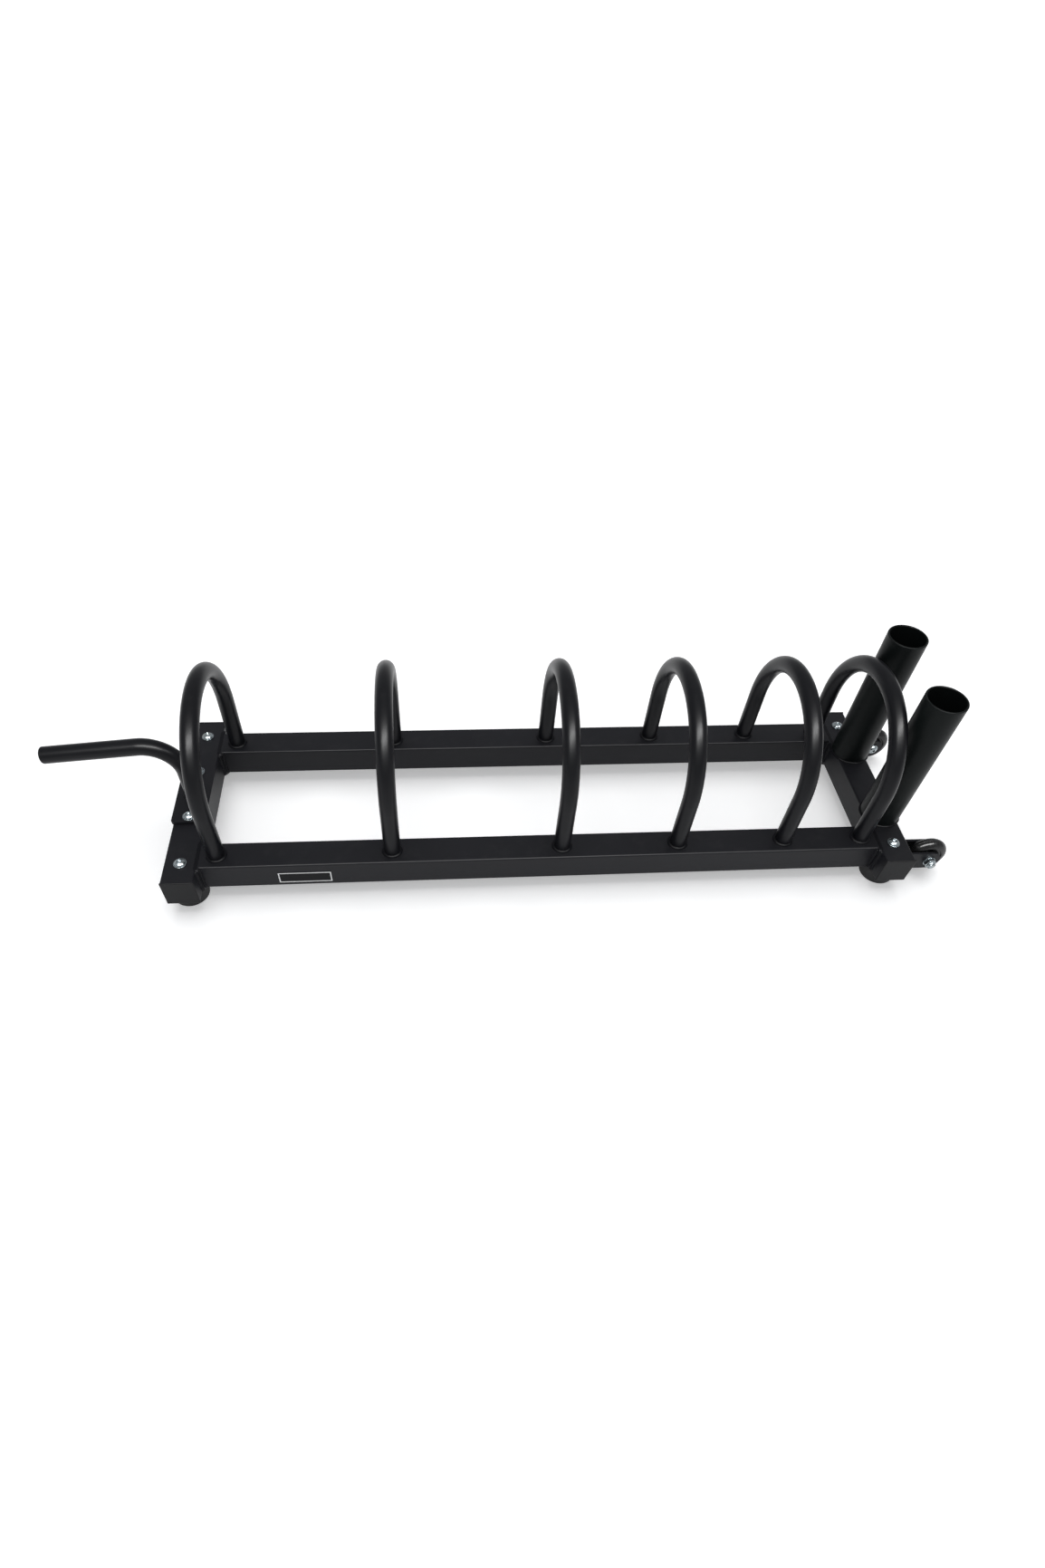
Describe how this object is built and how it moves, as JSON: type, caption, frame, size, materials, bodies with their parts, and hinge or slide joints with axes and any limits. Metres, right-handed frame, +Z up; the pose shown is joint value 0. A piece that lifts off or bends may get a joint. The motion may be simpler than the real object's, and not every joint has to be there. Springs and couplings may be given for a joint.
{
  "type": "weight plate rack",
  "caption": "Low rolling rack for weight plates: square rails, round hoops between plates, upright bar holders, tow handle and small wheels.",
  "frame": {"origin": "on the floor, under the middle of the rack's box", "axes": "+X along the rails towards the bar holders and wheels, +Y from the front rail to the rear rail, +Z up"},
  "size_m": [1.465, 0.364, 0.324],
  "materials": {
    "black_powder_coat": "satin, fine texture",
    "zinc_steel": "bright zinc plate",
    "black_plastic": "moulded, fine grain",
    "foot_rubber": "matte",
    "wheel_tyre": "smooth, slight sheen",
    "wheel_hub": "moulded, glossy",
    "badge": "printed film with a pale border"
  },
  "bodies": {
    "frame": {"badge": "badge", "foot_bolts": "zinc_steel", "foot_nuts": "zinc_steel", "foot_washers": "zinc_steel", "front_axle_bolt": "zinc_steel", "front_axle_nut": "zinc_steel", "front_axle_sleeve": "zinc_steel", "front_axle_washers": "zinc_steel", "front_bar_holder": "black_powder_coat", "front_bar_holder_floor": "black_powder_coat", "front_handle_end_cap": "black_plastic", "front_handle_end_foot": "foot_rubber", "front_rail": "black_powder_coat", "front_rail_handle_end_plate": "black_powder_coat", "front_rail_wheel_end_plate": "black_powder_coat", "front_wheel_bracket": "black_powder_coat", "front_wheel_end_cap": "black_plastic", "front_wheel_end_foot": "foot_rubber", "handle_base_plate": "black_powder_coat", "handle_bolts": "zinc_steel", "handle_end_cross_member": "black_powder_coat", "handle_nuts": "zinc_steel", "handle_plug": "black_plastic", "handle_tube": "black_powder_coat", "handle_washers": "zinc_steel", "hoop_1": "black_powder_coat", "hoop_2": "black_powder_coat", "hoop_3": "black_powder_coat", "hoop_4": "black_powder_coat", "hoop_5": "black_powder_coat", "hoop_6": "black_powder_coat", "rear_axle_bolt": "zinc_steel", "rear_axle_nut": "zinc_steel", "rear_axle_sleeve": "zinc_steel", "rear_axle_washers": "zinc_steel", "rear_bar_holder": "black_powder_coat", "rear_bar_holder_floor": "black_powder_coat", "rear_handle_end_cap": "black_plastic", "rear_handle_end_foot": "foot_rubber", "rear_rail": "black_powder_coat", "rear_rail_handle_end_plate": "black_powder_coat", "rear_rail_wheel_end_plate": "black_powder_coat", "rear_wheel_bracket": "black_powder_coat", "rear_wheel_end_cap": "black_plastic", "rear_wheel_end_foot": "foot_rubber", "wheel_end_cross_member": "black_powder_coat"},
    "front_wheel": {"front_wheel_tyre": "wheel_tyre", "front_wheel_hub": "wheel_hub"},
    "rear_wheel": {"rear_wheel_tyre": "wheel_tyre", "rear_wheel_hub": "wheel_hub"}
  },
  "joints": [
    {"name": "front_wheel_spin", "type": "hinge", "parent": "frame", "child": "front_wheel", "pos_m": [0.6985, -0.136, 0.037], "axis": [0, 1, 0], "continuous": true},
    {"name": "rear_wheel_spin", "type": "hinge", "parent": "frame", "child": "rear_wheel", "pos_m": [0.6985, 0.136, 0.037], "axis": [0, 1, 0], "continuous": true}
  ]
}
